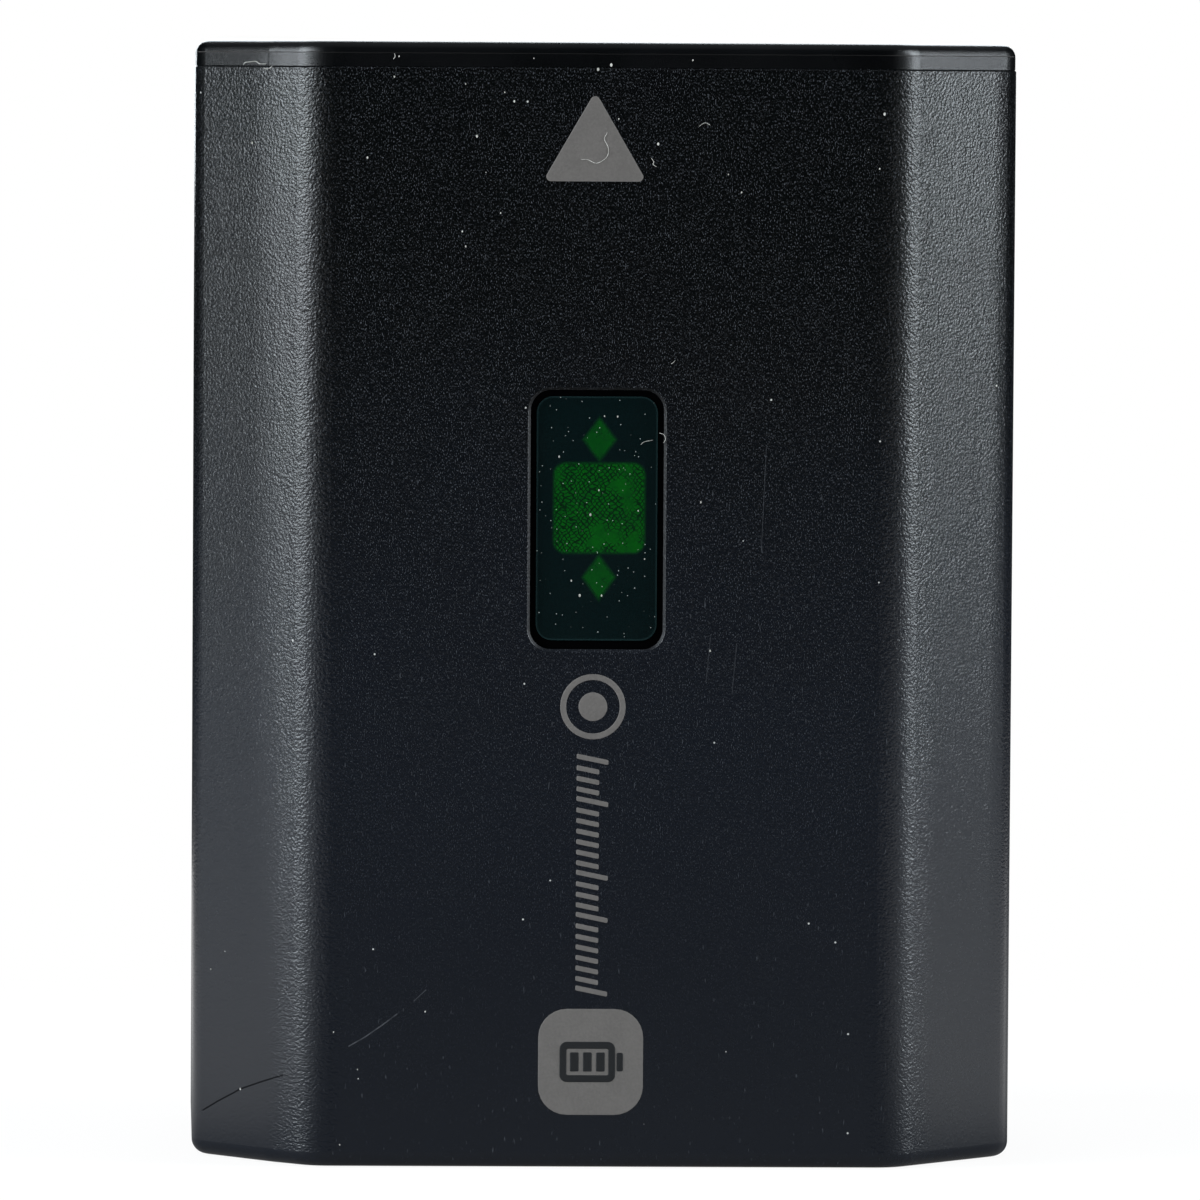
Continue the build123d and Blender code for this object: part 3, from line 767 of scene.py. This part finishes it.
floorRing = ringOutline(floorSet["radius"], floorSet["steps"])
floorPoints = np.column_stack([floorRing, np.full(len(floorRing), floorSet["height"])])
floorMesh = bpy.data.meshes.new("floor")
floorMesh.from_pydata(floorPoints, [], [list(range(len(floorPoints)))])
floorMesh.materials.append(makeFloor())
floor = bpy.data.objects.new("floor", floorMesh)
bpy.context.scene.collection.objects.link(floor)

studio = dict(ambient=0.30, shine=0.01)  # what the room gives to dull and to shiny surfaces
world = bpy.data.worlds.new("studio")
bpy.context.scene.world = world
world.use_nodes = True
world.node_tree.nodes.clear()
sky = Wire(world.node_tree, None)
eye, gloss = sky.add("ShaderNodeLightPath", {}, {}, ("Is Camera Ray", "Is Glossy Ray"))
level = eye.most(gloss * studio["shine"] + (1 - gloss) * studio["ambient"])
room = sky.add("ShaderNodeBackground", {}, {"Color": white, "Strength": level})
sky.add("ShaderNodeOutputWorld", {}, {"Surface": room})

# soft boxes: place, what they face, size in metres and power in watts
lamps = {
    "left_panel": dict(place=(-0.36, -0.113, 0.205), aim=(0, -0.012, 0.205), size=(0.111, 0.35), power=1.84),
    "left_wing": dict(place=(-0.36, -0.221, 0.205), aim=(0, -0.012, 0.205), size=(0.105, 0.35), power=0.80),
    "left_far": dict(place=(-0.36, -0.356, 0.205), aim=(0, -0.012, 0.205), size=(0.17, 0.35), power=0.36),
    "left_low": dict(place=(-0.36, 0.0, -0.06), aim=(0, -0.012, -0.06), size=(0.24, 0.12), power=0.12),
    "right_panel": dict(place=(0.36, -0.073, 0.205), aim=(0, -0.012, 0.205), size=(0.115, 0.35), power=1.85),
    "right_wing": dict(place=(0.36, -0.185, 0.205), aim=(0, -0.012, 0.205), size=(0.11, 0.35), power=0.18),
    "right_far": dict(place=(0.36, -0.326, 0.205), aim=(0, -0.012, 0.205), size=(0.18, 0.35), power=0.10),
    "right_low": dict(place=(0.36, 0.0, -0.06), aim=(0, -0.012, -0.06), size=(0.24, 0.12), power=0.06),
    "back": dict(place=(0.0, 0.48, 0.20), aim=(0, 0, 0.03), size=(0.24, 0.34), power=1.0),
    "overhead": dict(place=(0.0, 0.20, 0.60), aim=(0, 0.20, 0.0), size=(1.0, 0.9), power=0.60),
}
lampColour = (0.87, 0.945, 1.0)


# the turn that faces from one place to another, upright
def facing(place, aim):
    return (Vector(aim) - Vector(place)).to_track_quat("-Z", "Y")


for name, lamp in lamps.items():
    light = bpy.data.lights.new(name, "AREA")
    light.shape = "RECTANGLE"
    light.size, light.size_y = lamp["size"]
    light.energy = lamp["power"]
    light.color = lampColour
    box = bpy.data.objects.new(name, light)
    box.location = lamp["place"]
    box.rotation_mode = "QUATERNION"
    box.rotation_quaternion = facing(lamp["place"], lamp["aim"])
    box.visible_camera = False
    bpy.context.scene.collection.objects.link(box)

cameraSet = dict(place=(-0.010775, -0.450, 0.050), aim=(-0.000014, 0.0, 0.025558), roll=0.354, lens=287.56,
                 sensor=36.0, clipStart=0.01)
camera = bpy.data.cameras.new("camera")
camera.lens = cameraSet["lens"]
camera.sensor_width = cameraSet["sensor"]
camera.clip_start = cameraSet["clipStart"]
eyePoint = bpy.data.objects.new("camera", camera)
eyePoint.location = cameraSet["place"]
eyePoint.rotation_mode = "QUATERNION"
rolled = Quaternion((0, 0, 1), math.radians(cameraSet["roll"]))
eyePoint.rotation_quaternion = facing(cameraSet["place"], cameraSet["aim"]) @ rolled
bpy.context.scene.collection.objects.link(eyePoint)
bpy.context.scene.camera = eyePoint
bpy.context.scene.view_settings.view_transform = "Standard"
print("stage set")
